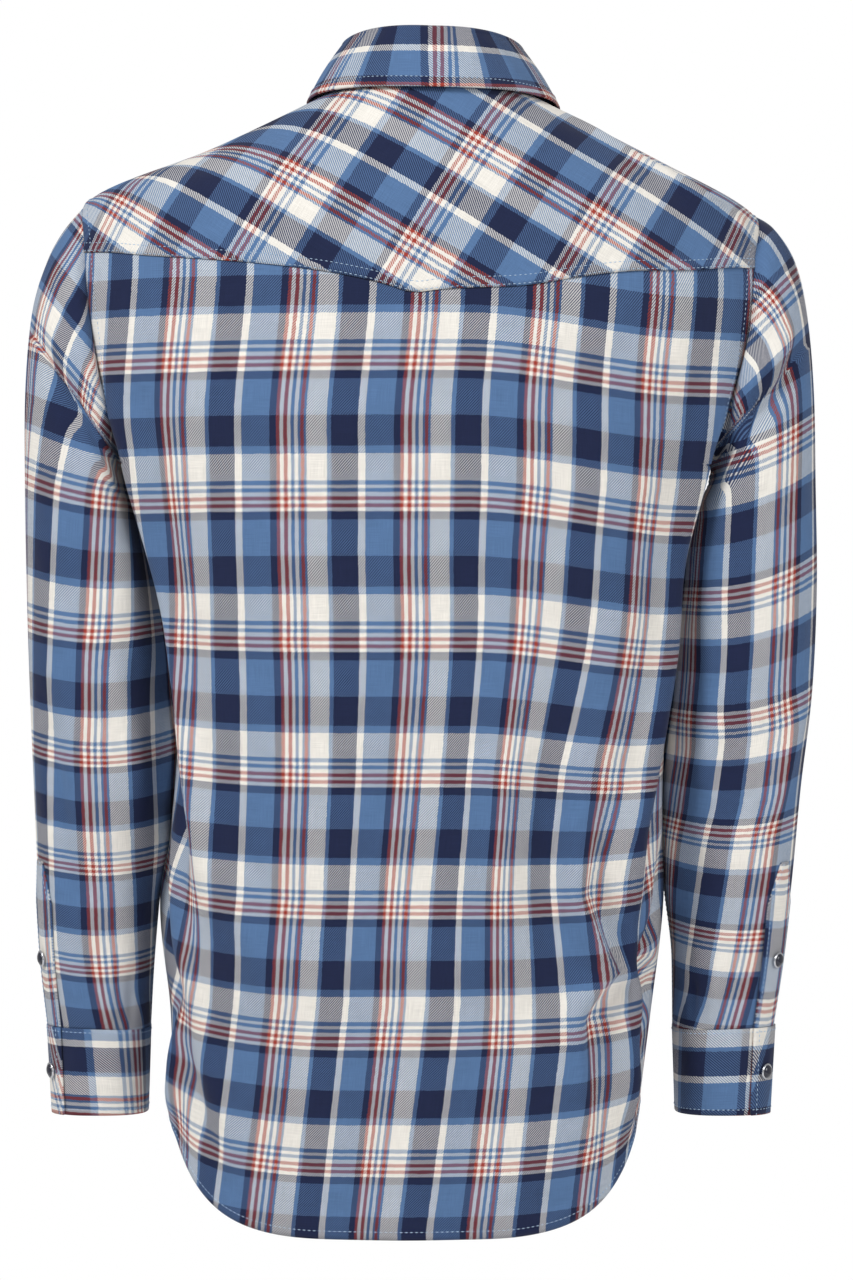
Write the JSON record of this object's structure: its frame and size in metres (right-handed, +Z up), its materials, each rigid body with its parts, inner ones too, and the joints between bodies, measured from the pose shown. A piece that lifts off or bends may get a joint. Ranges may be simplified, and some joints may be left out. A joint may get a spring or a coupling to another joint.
{
  "type": "western snap shirt",
  "caption": "Long-sleeved plaid flannel shirt with a pointed western yoke, fold-over collar, snapped front band, tower sleeve plackets and a curved shirt-tail hem, filled out as worn",
  "frame": {"origin": "Midway between the two neck points, where the shirt hangs on the wearer's shoulders", "axes": "+Z up, the front faces -Y and the back +Y, +X is the wearer's left"},
  "size_m": [0.5382, 0.2511, 0.8063],
  "materials": {
    "flannel": "brushed cotton flannel in a navy, blue, cream and brick plaid, matt",
    "snap": "dark pearl cap in a polished silver rim",
    "thread": "pale blue cotton topstitching"
  },
  "bodies": {
    "root": {"back": "flannel", "back_yoke": "flannel", "front_left": "flannel", "front_right": "flannel", "front_yoke_left": "flannel", "front_yoke_right": "flannel", "front_placket": "flannel", "sleeve_left": "flannel", "sleeve_right": "flannel", "sleeve_placket_left": "flannel", "sleeve_placket_right": "flannel", "cuff_left": "flannel", "cuff_right": "flannel", "collar_stand": "flannel", "collar_leaf": "flannel", "snap_collar": "snap", "snap_front_1": "snap", "snap_front_2": "snap", "snap_front_3": "snap", "snap_front_4": "snap", "snap_front_5": "snap", "snap_front_6": "snap", "snap_sleeve_left": "snap", "snap_sleeve_right": "snap", "snap_cuff_left": "snap", "snap_cuff_right": "snap"}
  },
  "joints": []
}
